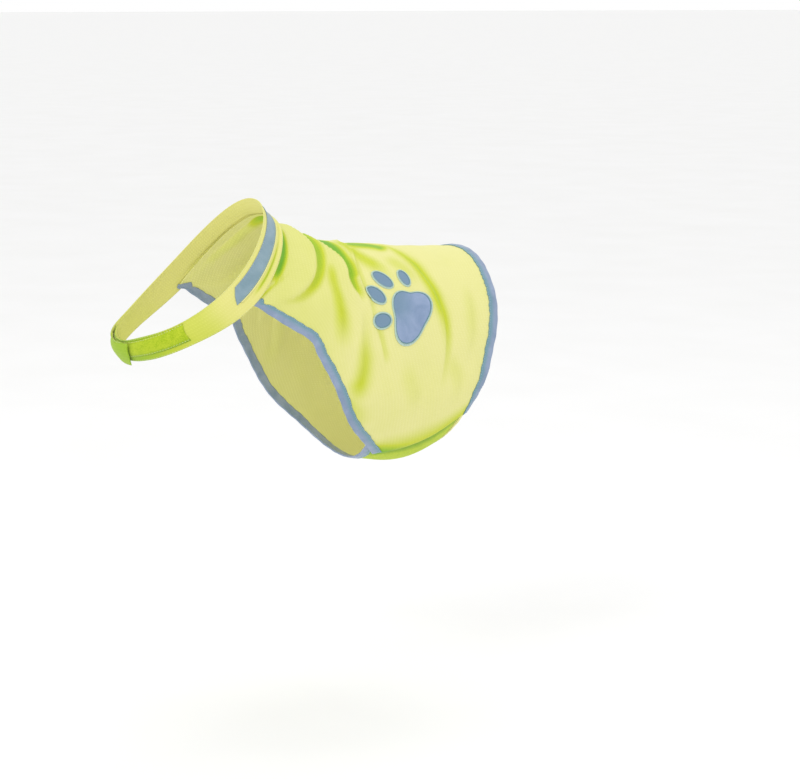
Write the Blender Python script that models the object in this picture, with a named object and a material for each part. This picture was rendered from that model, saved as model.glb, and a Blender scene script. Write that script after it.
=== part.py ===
# Dog safety vest, worn form: one saddle of knit cloth with two belly flaps, a neck band, grey bindings,
# touch-fastener tapes and a paw print on each flank.
# The wearer faces -Y with the left side towards +X. The origin is on the back, under the cloth at the withers.
# Every point of cloth has two sheet coordinates: station s (0 neck, 6 rear hem) and phi (degrees round the
# girth from the spine, plus to the wearer's left). Lengths in tables are millimetres unless a name says else.
import bpy
import bmesh
import numpy as np
from mathutils import Vector
from mathutils.bvhtree import BVHTree

mm = 0.001
clothWall = 1.5
tapeWall = 1.0
seamGap = 0.3
bindingLeg = 10.0
overTape = clothWall / 2 + seamGap + tapeWall / 2          # middle of a tape laid on cloth, from the cloth's middle
lapLift = clothWall + 2 * tapeWall + 3 * seamGap           # one cloth over another with both tapes between

# girth sections: spine point, lowest point, half width, how far the sides sit behind the line joining them
stationColumns = ("name", "topY", "topZ", "lowY", "lowZ", "half", "setBack")
stations = [
    ("neck", -70, 54, -231, -105, 80, 15),
    ("neck seam", -48, 27, -221, -128, 88, 17),
    ("shoulder", 10, 3, -125, -215, 98, 12),
    ("foreleg", 55, -10, -40, -262, 106, 6),
    ("chest", 110, -16, 45, -268, 110, 2),
    ("ribs", 170, -22, 122, -277, 111, 0),
    ("hem", 227, -24, 190, -250, 108, 0),
]

# cut of the panel, near end to far end: where each cross line starts (neckline or front edge) and ends (hem),
# how much it bends to leave the front edge squarely, and the grid steps to the next line
cutColumns = ("name", "frontS", "frontPhi", "hemS", "hemPhi", "bend", "steps")
cut = [
    ("left end", 4.24, 152, 5.57, 124, 1.5, 3),
    ("left flap", 3.72, 134.6, 5.74, 109, 1.3, 3),
    ("left flap root", 3.37, 123.4, 5.82, 96, 1.4, 2),
    ("left flank", 2.79, 104, 5.90, 82, 1.6, 3),
    ("left chest", 2.28, 92.5, 5.94, 69, 2.0, 3),
    ("left foreleg", 2.02, 86.8, 5.95, 58, 2.6, 2),
    ("left front", 1.60, 86, 5.94, 49, 3.0, 1),
    ("left seam end", 1.19, 85.5, 5.93, 44, 3.0, 1),
    ("left corner", 1.04, 85.5, 5.93, 40, 3.0, 2),
    ("left shoulder", 0.98, 56, 5.93, 27, 2.0, 2),
    ("left nape", 0.97, 27, 5.93, 13, 1.2, 2),
    ("spine", 0.96, 0, 5.93, 0, 1.0, 2),
    ("right nape", 0.97, -27, 5.93, -13, 1.2, 2),
    ("right shoulder", 0.98, -56, 5.93, -27, 2.0, 2),
    ("right corner", 1.04, -85.5, 5.93, -40, 3.0, 1),
    ("right seam end", 1.19, -85.5, 5.93, -44, 3.0, 1),
    ("right front", 1.60, -86, 5.94, -49, 3.0, 2),
    ("right foreleg", 2.02, -86.8, 5.95, -58, 2.6, 2),
    ("right chest", 2.28, -92.5, 5.94, -69, 2.0, 2),
    ("right flank", 2.79, -104, 5.90, -82, 1.6, 2),
    ("right flap root", 3.37, -123, 5.84, -98, 1.4, 2),
    ("right flap", 3.80, -140, 5.75, -118, 1.2, 2),
    ("right flap low", 4.08, -160, 5.63, -140, 1.0, 2),
    ("belly", 4.18, -180, 5.55, -166, 1.0, 3),
    ("belly lap", 4.12, -198, 5.55, -196, 1.0, 3),
    ("under the lap", 4.02, -212, 5.62, -224, 1.0, 3),
    ("right end", 3.95, -221, 5.68, -248, 1.0, 0),
]
panelRows = 31          # between the bound edges; two more each side under the bindings

# neck band, inner end to tab: station of its head edge and body edge, and how far it is lifted by the lap
bandColumns = ("name", "phi", "headS", "bodyS", "lift", "steps")
band = [
    ("inner end", 214, 0.00, 0.98, 0.0, 4),
    ("throat", 180, -0.05, 0.98, 0.0, 4),
    ("left throat", 155, -0.10, 0.98, 0.0, 5),
    ("left strap", 125, 0.05, 1.00, 0.0, 5),
    ("left junction", 88, 0.22, 1.13, 0.0, 4),
    ("left shoulder", 58, 0.26, 1.14, 0.0, 4),
    ("left nape", 28, 0.28, 1.12, 0.0, 4),
    ("nape", 0, 0.28, 1.10, 0.0, 4),
    ("right nape", -28, 0.28, 1.12, 0.0, 4),
    ("right shoulder", -58, 0.26, 1.14, 0.0, 4),
    ("right junction", -88, 0.22, 1.13, 0.0, 5),
    ("right strap", -125, 0.05, 1.00, 0.0, 4),
    ("tab root", -150, -0.08, 0.97, 3.6, 4),
    ("tab", -172, -0.10, 1.00, 4.6, 4),
    ("tab end", -192, -0.08, 1.02, 4.4, 0),
]
bandLift = clothWall + seamGap
bandAcross = (0, 0.09, 0.24, 0.42, 0.58, 0.75, 0.89, 1)

# folds: four points of the lip line as (s, phi), height of the lip, depth of the hollow behind it, its width
foldColumns = ("name", "s0", "phi0", "s1", "phi1", "s2", "phi2", "s3", "phi3", "lip", "dip", "width")
folds = [
    ("left collar hollow", 1.12, 22, 1.18, 40, 1.18, 54, 1.16, 70, 0.0, 6.2, 7),
    ("left crescent", 1.50, 2, 1.68, 27, 1.79, 48, 1.55, 72, 1.8, 5.6, 11),
    ("left shoulder fold", 1.80, -6, 2.25, 24, 2.50, 40, 2.75, 56, 2.2, 6.2, 13),
    ("left back fold", 2.62, -10, 2.86, 19, 2.92, 46, 3.50, 88, 2.2, 3.2, 12),
    ("left top hollow", 3.00, 0, 3.10, 8, 3.32, 17, 3.40, 30, 0.7, 4.4, 10),
    ("left foreleg trough", 2.05, 42, 2.18, 54, 2.46, 68, 2.64, 82, 0.5, 4.4, 9),
    ("left flank trough", 2.90, 68, 3.04, 84, 3.16, 98, 3.10, 106, 0.5, 3.8, 10),
    ("left rib crease", 4.02, -12, 4.33, 27, 4.68, 57, 4.75, 95, 0.9, 4.0, 8),
    ("left hem trough", 5.10, 62, 5.12, 76, 5.12, 88, 5.14, 100, 0.2, 2.2, 9),
    ("left low trough", 3.95, 90, 4.05, 100, 4.15, 108, 4.20, 114, 0.2, 1.8, 9),
    ("left pucker", 3.10, 108, 3.30, 113, 3.52, 120, 3.70, 127, 0.3, 1.9, 7),
    ("right collar hollow", 1.12, -24, 1.18, -42, 1.18, -56, 1.16, -68, 0.0, 5.2, 7),
    ("right crescent", 1.62, -14, 1.80, -34, 1.86, -52, 1.62, -74, 1.6, 4.8, 11),
    ("right shoulder fold", 2.02, -14, 2.30, -34, 2.42, -50, 2.66, -68, 1.8, 5.2, 13),
    ("right back fold", 2.78, -20, 2.84, -42, 2.98, -64, 3.40, -92, 1.8, 3.4, 13),
    ("right flank trough", 2.70, -78, 2.92, -90, 3.10, -102, 3.20, -112, 0.5, 3.8, 10),
    ("right rib crease", 4.22, -22, 4.48, -44, 4.72, -66, 4.78, -98, 0.9, 4.2, 8),
    ("right hem trough", 5.16, -48, 5.20, -66, 5.14, -84, 5.05, -102, 0.2, 2.5, 9),
    ("right low trough", 4.10, -96, 4.22, -108, 4.36, -120, 4.46, -130, 0.2, 2.5, 10),
]

# paw print: palm pad and toes in millimetres from the print's middle, x to the rear, y down the flank
pawAt = {"left": (3.78, 60.0), "right": (3.78, -60.0)}
pawScale = (66.0, 2.3)          # millimetres to one station and to one degree there
padColumns = ("x", "y", "long", "wide", "threeSided", "heavyEnd", "lean", "turn")
pad = (11, 4, 67, 55, 0.16, 0.18, 0.10, 97)
toeColumns = ("name", "x", "y", "long", "wide", "turn")
toes = [
    ("toe_1", -27, 17, 25, 20, 5),
    ("toe_2", -37, -16, 33, 18, 38),
    ("toe_3", -25, -38, 35, 19, 38),
    ("toe_4", 8, -41, 27, 16, 72),
]

colours = {
    "knit": (0.76, 0.84, 0.10, 1), "loop": (0.45, 0.66, 0.06, 1),
    "hook": (0.55, 0.70, 0.08, 1), "tape": (0.30, 0.38, 0.56, 1),
}


def spline(rows, at):
    # smooth curve through the rows of a table, read at fractional row numbers
    rows = np.asarray(rows, float)
    at = np.asarray(at, float)
    low = np.clip(np.floor(at).astype(int), 0, len(rows) - 2)
    u = (at - low)[..., None]
    here, there = rows[low], rows[low + 1]
    before = np.where((low > 0)[..., None], rows[np.maximum(low - 1, 0)], 2 * here - there)
    last = len(rows) - 1
    after = np.where((low + 2 <= last)[..., None], rows[np.minimum(low + 2, last)], 2 * there - here)
    return 0.5 * (2 * here + (there - before) * u + (2 * before - 5 * here + 4 * there - after) * u ** 2
                  + (3 * here - before - 3 * there + after) * u ** 3)


def ease(low, high, value):
    t = np.clip((value - low) / (high - low), 0, 1)
    return t * t * (3 - 2 * t)


def bodyForm(s, phi):
    topY, topZ, lowY, lowZ, half, setBack = np.moveaxis(spline([row[1:] for row in stations], s), -1, 0)
    turn = np.radians(phi)
    reachY, reachZ = (topY - lowY) / 2, (topZ - lowZ) / 2
    reach = np.hypot(reachY, reachZ)
    side = np.sin(turn)
    back = setBack * side ** 2
    x = half * np.sign(side) * np.abs(side) ** 0.95
    y = (topY + lowY) / 2 + reachY * np.cos(turn) + back * reachZ / reach
    z = (topZ + lowZ) / 2 + reachZ * np.cos(turn) - back * reachY / reach
    return np.stack([x, y, z], -1) * mm


def outward(s, phi):
    along = bodyForm(s + 0.02, phi) - bodyForm(s - 0.02, phi)
    around = bodyForm(s, phi + 0.5) - bodyForm(s, phi - 0.5)
    face = direction(np.cross(along, around))
    return -face if face.reshape(-1, 3)[0] @ inside(s, phi).reshape(-1, 3)[0] > 0 else face


def inside(s, phi):
    return bodyForm(s, phi + 180) - bodyForm(s, phi)


def foldHeight(s, phi, table):
    # each fold is a lip with a hollow behind it, fading towards both ends of its line
    total = np.zeros(np.shape(s))
    for row in table:
        fold = dict(zip(foldColumns, row))
        path = spline([(fold["s%d" % k] * 62, fold["phi%d" % k] * 2.0) for k in range(4)], np.linspace(0, 3, 25))
        here = np.stack([s * 62, phi * 2.0], -1)[..., None, :]
        start, step = path[:-1], np.diff(path, axis=0)
        along = np.clip(((here - start) * step).sum(-1) / (step ** 2).sum(-1), 0, 1)
        gap = here - start - along[..., None] * step
        away = np.hypot(gap[..., 0], gap[..., 1])
        best = away.argmin(-1)[..., None]
        run = (np.take_along_axis(along, best, -1)[..., 0] + best[..., 0]) / 24
        near = np.take_along_axis(away, best, -1)[..., 0] / fold["width"]
        behind = np.take_along_axis(gap[..., 0], best, -1)[..., 0] / fold["width"]
        fade = ease(0, 0.3, run) * ease(1, 0.7, run)
        signed = near * np.where(behind > 0, 1, -1)
        hollow = np.exp(-((signed - 0.8) / 0.75) ** 2)
        lip = np.exp(-((signed + 0.6) / 0.7) ** 2)
        total = total + fade * (fold["lip"] * lip - fold["dip"] * hollow)
    return total


def panelAt(across, down, lift=0.0):
    # across: fractional row of the cut table; down: 0 at the front edge, 1 at the hem
    rows = spline([row[1:6] for row in cut], across)
    s = rows[..., 0] + (rows[..., 2] - rows[..., 0]) * down
    phi = rows[..., 3] + (rows[..., 1] - rows[..., 3]) * (1 - down) ** rows[..., 4]
    calm = ease(1.0, 1.14, s) * ease(133, 112, np.abs(phi)) * ease(0, 0.06, down) * ease(1, 0.95, down)
    height = foldHeight(s, phi, folds) * calm
    height = height + lapLift * ease(94, 112, phi + 8 * down) * (across < cutRow("left corner")) + lift
    return bodyForm(s, phi) + outward(s, phi) * (height * mm)[..., None]


def bandAt(across, over, lift=0.0):
    rows = spline([row[1:5] for row in band], across)
    last = len(band) - 1
    rounding = ease(last - 0.9, last, across) * 8.0 * np.abs(2 * over - 1) ** 3
    phi = rows[..., 0] + rounding
    s = rows[..., 1] + (rows[..., 2] - rows[..., 1]) * over
    roll = 1.3 * np.exp(-((over - 0.80) / 0.09) ** 2) - 1.0 * np.exp(-((over - 0.62) / 0.08) ** 2)
    gather = ease(14, 30, np.abs(phi)) * ease(78, 60, np.abs(phi))
    height = bandLift + rows[..., 3] + roll * gather + lift
    return bodyForm(s, phi) + outward(s, phi) * (height * mm)[..., None]


def cutRow(name):
    return [row[0] for row in cut].index(name)


def steppedRows(table):
    # grid lines of a table: each row is followed by its own number of steps
    places = [k + i / row[-1] for k, row in enumerate(table[:-1]) for i in range(row[-1])]
    return np.array(places + [len(table) - 1.0])


def gridNormals(points):
    face = np.cross(np.gradient(points, axis=1), np.gradient(points, axis=0))
    return direction(face)


def finish(name, mesh, slot, wall=0.0):
    mesh.name = name
    for face in mesh.polygons:
        face.use_smooth = True
    made = bpy.data.objects.new(name, mesh)
    bpy.context.scene.collection.objects.link(made)
    material = bpy.data.materials.new(name)
    material.use_nodes = True
    shader = material.node_tree.nodes["Principled BSDF"]
    shader.inputs["Base Color"].default_value = colours[slot]
    shader.inputs["Roughness"].default_value = 0.45 if slot == "tape" else 0.85
    material.diffuse_color = colours[slot]
    made.data.materials.append(material)
    if wall:
        shell = made.modifiers.new("Wall", "SOLIDIFY")
        shell.thickness = wall * mm
        shell.offset = 0
        shell.use_even_offset = False
    return made


def sheet(name, points, slot, wall):
    # a regular grid of cloth carried onto its points, then given a wall
    rows, columns = points.shape[:2]
    work = bmesh.new()
    bmesh.ops.create_grid(work, x_segments=columns - 1, y_segments=rows - 1, size=0.5)
    for vert in work.verts:
        column = round((vert.co.x + 0.5) * (columns - 1))
        row = round((vert.co.y + 0.5) * (rows - 1))
        vert.co = points[row, column]
    bmesh.ops.recalc_face_normals(work, faces=work.faces)
    mesh = bpy.data.meshes.new(name)
    work.to_mesh(mesh)
    work.free()
    return finish(name, mesh, slot, wall)


def panelGrid():
    across = steppedRows(cut)
    front, hem = legDepth(across, 0), legDepth(across, 1)
    middle = front[:, 2:] + (1 - front[:, 2:] - hem[:, 2:]) * np.linspace(0, 1, panelRows + 1)
    down = np.hstack([front[:, :2], middle, 1 - hem[:, 1::-1]])
    return across, panelAt(across[:, None] + 0 * down, down)


def legDepth(across, side):
    # how far down each grid line it is none, half and all of a binding leg away from the panel's edge
    depth = np.linspace(0, 0.3, 61)
    down = abs(side - depth) + 0 * across[:, None]
    lines = panelAt(across[:, None] + 0 * down, down)
    edgeAt = np.linspace(0, across[-1], 400)
    edge = panelAt(edgeAt, np.full(400, float(side)))
    away = np.linalg.norm(lines[:, :, None] - edge, axis=-1)
    away[np.broadcast_to((abs(edgeAt - across[:, None]) > 3)[:, None], away.shape)] = 1      # not the lapped end
    away = away.min(-1)
    wanted = np.array((0, 0.5, 1)) * bindingLeg * mm
    return np.array([np.interp(wanted, np.maximum.accumulate(row), depth) for row in away])


def direction(vectors):
    return vectors / np.linalg.norm(vectors, axis=-1)[..., None]


def binding(name, points, normals, columns, atHem, taper=None):
    # tape folded over an edge: outer leg, round the edge, inner leg, on the panel's own grid lines
    lines = [-1, -2, -3] if atHem else [0, 1, 2]
    edge, first, second = (points[columns, k] for k in lines)
    out = normals[columns, lines[0]]
    away = direction(np.cross(direction(np.gradient(edge, axis=0)), out))
    away = away * np.sign((away * (edge - first)).sum(-1))[:, None]
    reach = (np.ones(len(edge)) if taper is None else taper)[:, None]
    lifts = [normals[columns, k] * overTape * mm for k in lines]
    inner = edge + (first - edge) * reach, edge + (second - edge) * reach
    section = [inner[1] + lifts[2], inner[0] + lifts[1], edge + lifts[0]]
    section += [edge + out * np.cos(a) * overTape * mm + away * np.sin(a) * overTape * mm
                for a in np.radians((40, 90, 140))]
    section += [edge - lifts[0], inner[0] - lifts[1], inner[1] - lifts[2]]
    return sheet(name, np.stack(section, 1), "tape", tapeWall)


def padOutline(angle):
    return 1 + pad[4] * np.cos(3 * angle) + pad[5] * np.cos(angle) - pad[6] * np.cos(angle - np.radians(75))


def appliqueOn(cover, name, flank, at, size, turn, shape, grain):
    # a flat patch drawn in millimetres, dropped on the panel's outer face; it bridges the small creases
    work = bmesh.new()
    bmesh.ops.create_grid(work, x_segments=grain, y_segments=grain, size=1.0)
    tilt = np.radians(turn)
    baseS, basePhi = pawAt[flank]
    sign = 1 if flank == "left" else -1
    gone = []
    for vert in work.verts:
        u, v = vert.co.x, vert.co.y
        x, y = u * np.sqrt(1 - v * v / 2), v * np.sqrt(1 - u * u / 2)
        reach = shape(np.arctan2(y, x))
        x, y = x * size[0] / 2 * reach, y * size[1] / 2 * reach
        x, y = x * np.cos(tilt) - y * np.sin(tilt) + at[0], x * np.sin(tilt) + y * np.cos(tilt) + at[1]
        s = np.array([baseS + x / pawScale[0]])
        phi = np.array([basePhi + sign * y / pawScale[1]])
        start, out = Vector(bodyForm(s, phi)[0]), Vector(outward(s, phi)[0])
        sideways = out.orthogonal().normalized() * 3.8 * mm
        around = [Vector((0, 0, 0)), sideways, -sideways, out.cross(sideways), sideways.cross(out)]
        falls = [cover.ray_cast(start + step + out * 30 * mm, -out)[3] for step in around]
        if falls[0] is None:
            gone.append(vert)
            continue
        high = 30 * mm - min(fall for fall in falls if fall is not None)
        vert.co = start + out * (high + (seamGap + 0.1 + tapeWall / 2) * mm)
    bmesh.ops.delete(work, geom=gone, context="VERTS")
    bmesh.ops.recalc_face_normals(work, faces=work.faces)
    mesh = bpy.data.meshes.new(name)
    work.to_mesh(mesh)
    work.free()
    return finish(name, mesh, "tape", tapeWall)


def buildPanel():
    across, points = panelGrid()
    normals = gridNormals(points)
    middle = points.mean(axis=(0, 1))
    if ((points - middle) * normals).sum() < 0:
        normals = -normals
    panel = sheet("body_panel", points, "knit", clothWall)
    left = np.where(across <= cutRow("left seam end"))[0]
    right = np.where(across >= cutRow("right seam end"))[0]
    binding("front_binding_left", points, normals, left, False)
    binding("front_binding_right", points, normals, right, False)
    last = cutRow("belly")
    hem = np.where(across <= last)[0]
    slim = 0.45 + 0.55 * ease(0, 1.2, across[hem]) * ease(last, last - 1.5, across[hem])
    binding("hem_binding", points, normals, hem, True, slim)
    buildBellyTapes(across, points, normals)
    return panel


def buildBand():
    across = steppedRows(band)
    over = np.array(bandAcross)
    shape = (len(across), len(over))
    points = bandAt(across[:, None] + np.zeros(shape), over + np.zeros(shape))
    sheet("neck_band", points, "knit", clothWall)

    def onBand(name, first, last, lines, side, slot):
        columns = across[(across >= first) & (across <= last)]
        sub = (len(columns), len(lines))
        grid = bandAt(columns[:, None] + np.zeros(sub), over[list(lines)] + np.zeros(sub), side * overTape)
        sheet(name, grid, slot, tapeWall)

    onBand("collar_reflector", 3.95, 10.05, (2, 3, 4, 5), 1, "tape")
    onBand("neck_loop_tape", 0.2, 3.0, (1, 2, 3, 4, 5, 6), 1, "loop")
    onBand("neck_hook_tape", 12.3, 13.4, (1, 2, 3, 4, 5, 6), -1, "hook")


def buildBellyTapes(across, points, normals):
    # loop tape outside the right flap's end, hook tape inside the left flap's end
    loop = slice(np.searchsorted(across, cutRow("belly") + 0.6), len(across) - 1), slice(4, -1)
    sheet("belly_loop_tape", points[loop] + normals[loop] * overTape * mm, "loop", tapeWall)
    hook = slice(1, 6), slice(4, -4)
    sheet("belly_hook_tape", points[hook] - normals[hook] * overTape * mm, "hook", tapeWall)


def buildPaws(panel):
    cover = BVHTree.FromObject(panel, bpy.context.evaluated_depsgraph_get())
    for flank in ("left", "right"):
        appliqueOn(cover, "paw_%s_pad" % flank, flank, pad[:2], pad[2:4], pad[7], padOutline, 10)
        for name, x, y, length, width, turn in toes:
            appliqueOn(cover, "paw_%s_%s" % (flank, name), flank, (x, y), (length, width), turn, np.ones_like, 5)


for thing in list(bpy.data.objects):
    bpy.data.objects.remove(thing)
bodyPanel = buildPanel()
buildBand()
bpy.context.view_layer.update()
buildPaws(bodyPanel)
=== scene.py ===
# Dog safety vest in its worn form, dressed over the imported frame.
# Wearer faces -Y, left side towards +X, origin on the back. Lengths in tables are millimetres.
# A point of cloth is (s, phi): station 0 neck to 6 rear hem, degrees round the girth from the spine.
import math
import bpy
import bmesh
import numpy as np
from mathutils import Matrix, Vector


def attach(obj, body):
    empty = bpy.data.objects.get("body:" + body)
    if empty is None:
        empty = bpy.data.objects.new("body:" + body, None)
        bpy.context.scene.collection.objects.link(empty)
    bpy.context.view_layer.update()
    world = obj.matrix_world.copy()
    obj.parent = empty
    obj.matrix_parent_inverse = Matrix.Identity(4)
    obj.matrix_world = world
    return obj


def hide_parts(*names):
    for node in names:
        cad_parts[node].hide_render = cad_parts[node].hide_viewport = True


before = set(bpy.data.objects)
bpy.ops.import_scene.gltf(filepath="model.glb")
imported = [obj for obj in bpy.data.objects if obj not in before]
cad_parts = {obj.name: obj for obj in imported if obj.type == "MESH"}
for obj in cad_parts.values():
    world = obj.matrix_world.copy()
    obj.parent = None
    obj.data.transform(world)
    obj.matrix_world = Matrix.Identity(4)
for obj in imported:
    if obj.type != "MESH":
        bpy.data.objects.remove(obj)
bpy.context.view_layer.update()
print("frame loaded:", len(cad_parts), "solids")

mm = 0.001
walls = {"knit": 1.0, "tape": 0.6, "piping": 0.4, "satin": 0.25, "gap": 0.15, "lapLift": 4.4, "bandLift": 1.8}
# from the middle of the cloth's wall to the middle of a tape's that lies on it
overTape = walls["knit"] / 2 + walls["gap"] + walls["tape"] / 2


# the camera comes from a least-squares fit to landmarks of the wearer, read off the photo
view = {"azimuth": 58.0, "elevation": 10.0, "place": (2.2604, -1.2738, 0.2732), "lens": 99.45}


def placeCamera():
    a, e = math.radians(view["azimuth"]), math.radians(view["elevation"])
    right = Vector((math.cos(a), math.sin(a), 0))
    back = Vector((math.sin(a) * math.cos(e), -math.cos(a) * math.cos(e), math.sin(e)))
    turn = Matrix((right, back.cross(right), back)).transposed()
    data = bpy.data.cameras.new("camera")
    data.lens, data.sensor_width = view["lens"], 36
    data.clip_start, data.clip_end = 0.05, 400
    made = bpy.data.objects.new("camera", data)
    made.matrix_world = Matrix.Translation(view["place"]) @ turn.to_4x4()
    bpy.context.scene.collection.objects.link(made)
    bpy.context.scene.camera = made


def linearColour(hexText):
    parts = [int(hexText[i:i + 2], 16) / 255 for i in (1, 3, 5)]
    return tuple(p / 12.92 if p <= 0.04045 else ((p + 0.055) / 1.055) ** 2.4 for p in parts) + (1.0,)


studio = {
    # name: where it stands, what it points at, its size in metres, its power
    "key_softbox": ((1.3, -2.4, 2.4), (0, 0, -0.1), 1.2, 18),
    "fill_softbox": ((3.2, 1.2, 0.9), (0, 0.05, -0.15), 2.0, 4),
    "top_softbox": ((-0.5, 0.6, 2.6), (0, 0, 0), 1.2, 8),
}


def lightStudio():
    for name, (place, target, size, power) in studio.items():
        lamp = bpy.data.lights.new(name, "AREA")
        lamp.shape, lamp.size, lamp.energy = "DISK", size, power
        made = bpy.data.objects.new(name, lamp)
        facing = (Vector(place) - Vector(target)).to_track_quat("Z", "Y")
        made.matrix_world = Matrix.Translation(place) @ facing.to_matrix().to_4x4()
        bpy.context.scene.collection.objects.link(made)
    world = bpy.data.worlds.new("studio_air")
    world.use_nodes = True
    world.node_tree.nodes["Background"].inputs["Color"].default_value = linearColour("#ffffff")
    world.node_tree.nodes["Background"].inputs["Strength"].default_value = 1.0
    bpy.context.scene.world = world
    bpy.context.scene.view_settings.view_transform = "Standard"


def addNode(tree, kind, inputs=None, **settings):
    node = tree.nodes.new(kind)
    for name, value in settings.items():
        setattr(node, name, value)
    for name, value in (inputs or {}).items():
        if isinstance(value, bpy.types.NodeSocket):
            tree.links.new(value, node.inputs[name])
        else:
            node.inputs[name].default_value = value
    return node


def startMaterial(name, roughness, **sockets):
    made = bpy.data.materials.new(name)
    made.use_nodes = True
    shader = made.node_tree.nodes["Principled BSDF"]
    shader.inputs["Roughness"].default_value = roughness
    for socket, value in sockets.items():
        shader.inputs[socket.replace("_", " ")].default_value = value
    return made, made.node_tree, shader


def studioPaint():
    # matt white wall paint, rolled: even, without gloss
    made, tree, shader = startMaterial("matt_studio_paint", 0.95, Specular_IOR_Level=0.1)
    place = addNode(tree, "ShaderNodeTexCoord")
    grain = addNode(tree, "ShaderNodeTexNoise", {"Vector": place.outputs["Object"], "Scale": 4.0,
                                                 "Detail": 2.0})
    tint = addNode(tree, "ShaderNodeMixRGB", {"Fac": grain.outputs["Fac"], "Color1": linearColour("#f3f3f2"),
                                              "Color2": linearColour("#f8f8f8")})
    tree.links.new(tint.outputs["Color"], shader.inputs["Base Color"])
    return made


def warpKnit(name, lit, middle, inShade, deepShade, sheen=0.25):
    # warp-knit polyester in a day-glow dye, matt and faintly fuzzy; painted shade deepens it in the folds
    made, tree, shader = startMaterial(name, 0.82, Sheen_Weight=sheen, Sheen_Roughness=0.5,
                                       Specular_IOR_Level=0.25)
    shader.inputs["Sheen Tint"].default_value = linearColour("#f6f7c0")
    place = addNode(tree, "ShaderNodeTexCoord")
    threads = addNode(tree, "ShaderNodeUVMap", uv_map="Cloth")
    hollow = addNode(tree, "ShaderNodeAttribute", attribute_name="hollow")
    # soft cloudy change of depth, about 40 mm across
    cloud = addNode(tree, "ShaderNodeTexNoise", {"Vector": place.outputs["Object"], "Scale": 24.0,
                                                 "Detail": 2.0, "Roughness": 0.5})
    shift = addNode(tree, "ShaderNodeMath", {0: cloud.outputs["Fac"], 1: 0.5}, operation="SUBTRACT")
    # the painted shade of the hollows shows on the outer face, hardly on the inner one
    facing = addNode(tree, "ShaderNodeNewGeometry")
    outwards = addNode(tree, "ShaderNodeSeparateXYZ", {"Vector": facing.outputs["Normal"]})
    sideways = addNode(tree, "ShaderNodeSeparateXYZ", {"Vector": place.outputs["Object"]})
    turned = addNode(tree, "ShaderNodeMath", {0: outwards.outputs["X"], 1: sideways.outputs["X"]},
                     operation="MULTIPLY")
    outer = addNode(tree, "ShaderNodeMapRange", {"Value": turned.outputs[0], "From Min": -0.02,
                                                 "From Max": 0.0, "To Min": 0.25})
    seen = addNode(tree, "ShaderNodeMath", {0: hollow.outputs["Fac"], 1: outer.outputs["Result"]},
                   operation="MULTIPLY")
    level = addNode(tree, "ShaderNodeMath", {0: shift.outputs[0], 1: 0.14, 2: seen.outputs[0]},
                    operation="MULTIPLY_ADD")
    # painted shade: the hollow attribute runs the colour from the lit tone to the shade tones
    ramp = addNode(tree, "ShaderNodeValToRGB", {"Fac": level.outputs[0]})
    ramp.color_ramp.elements[0].position, ramp.color_ramp.elements[0].color = 0.0, linearColour(lit)
    ramp.color_ramp.elements[1].position, ramp.color_ramp.elements[1].color = 1.0, linearColour(deepShade)
    ramp.color_ramp.elements.new(0.40).color = linearColour(middle)
    ramp.color_ramp.elements.new(0.78).color = linearColour(inShade)
    # knit ribs: real wales are 0.8 mm apart, drawn at 2 mm so that they show
    wales = addNode(tree, "ShaderNodeTexWave", {"Vector": threads.outputs["UV"], "Scale": 7.9,
                                                "Distortion": 0.6, "Detail": 1.0, "Detail Scale": 2.0},
                    bands_direction="X")
    courses = addNode(tree, "ShaderNodeTexWave", {"Vector": threads.outputs["UV"], "Scale": 10.5,
                                                  "Distortion": 0.8, "Detail": 1.0}, bands_direction="Y")
    loops = addNode(tree, "ShaderNodeMath", {0: wales.outputs["Fac"], 1: courses.outputs["Fac"]},
                    operation="MULTIPLY")
    shade = addNode(tree, "ShaderNodeMixRGB", {"Fac": 0.10, "Color1": ramp.outputs["Color"],
                                               "Color2": loops.outputs[0]}, blend_type="SOFT_LIGHT")
    tree.links.new(shade.outputs["Color"], shader.inputs["Base Color"])
    bump = addNode(tree, "ShaderNodeBump", {"Height": loops.outputs[0], "Strength": 0.22, "Distance": 0.0006})
    tree.links.new(bump.outputs["Normal"], shader.inputs["Normal"])
    return made


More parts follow.
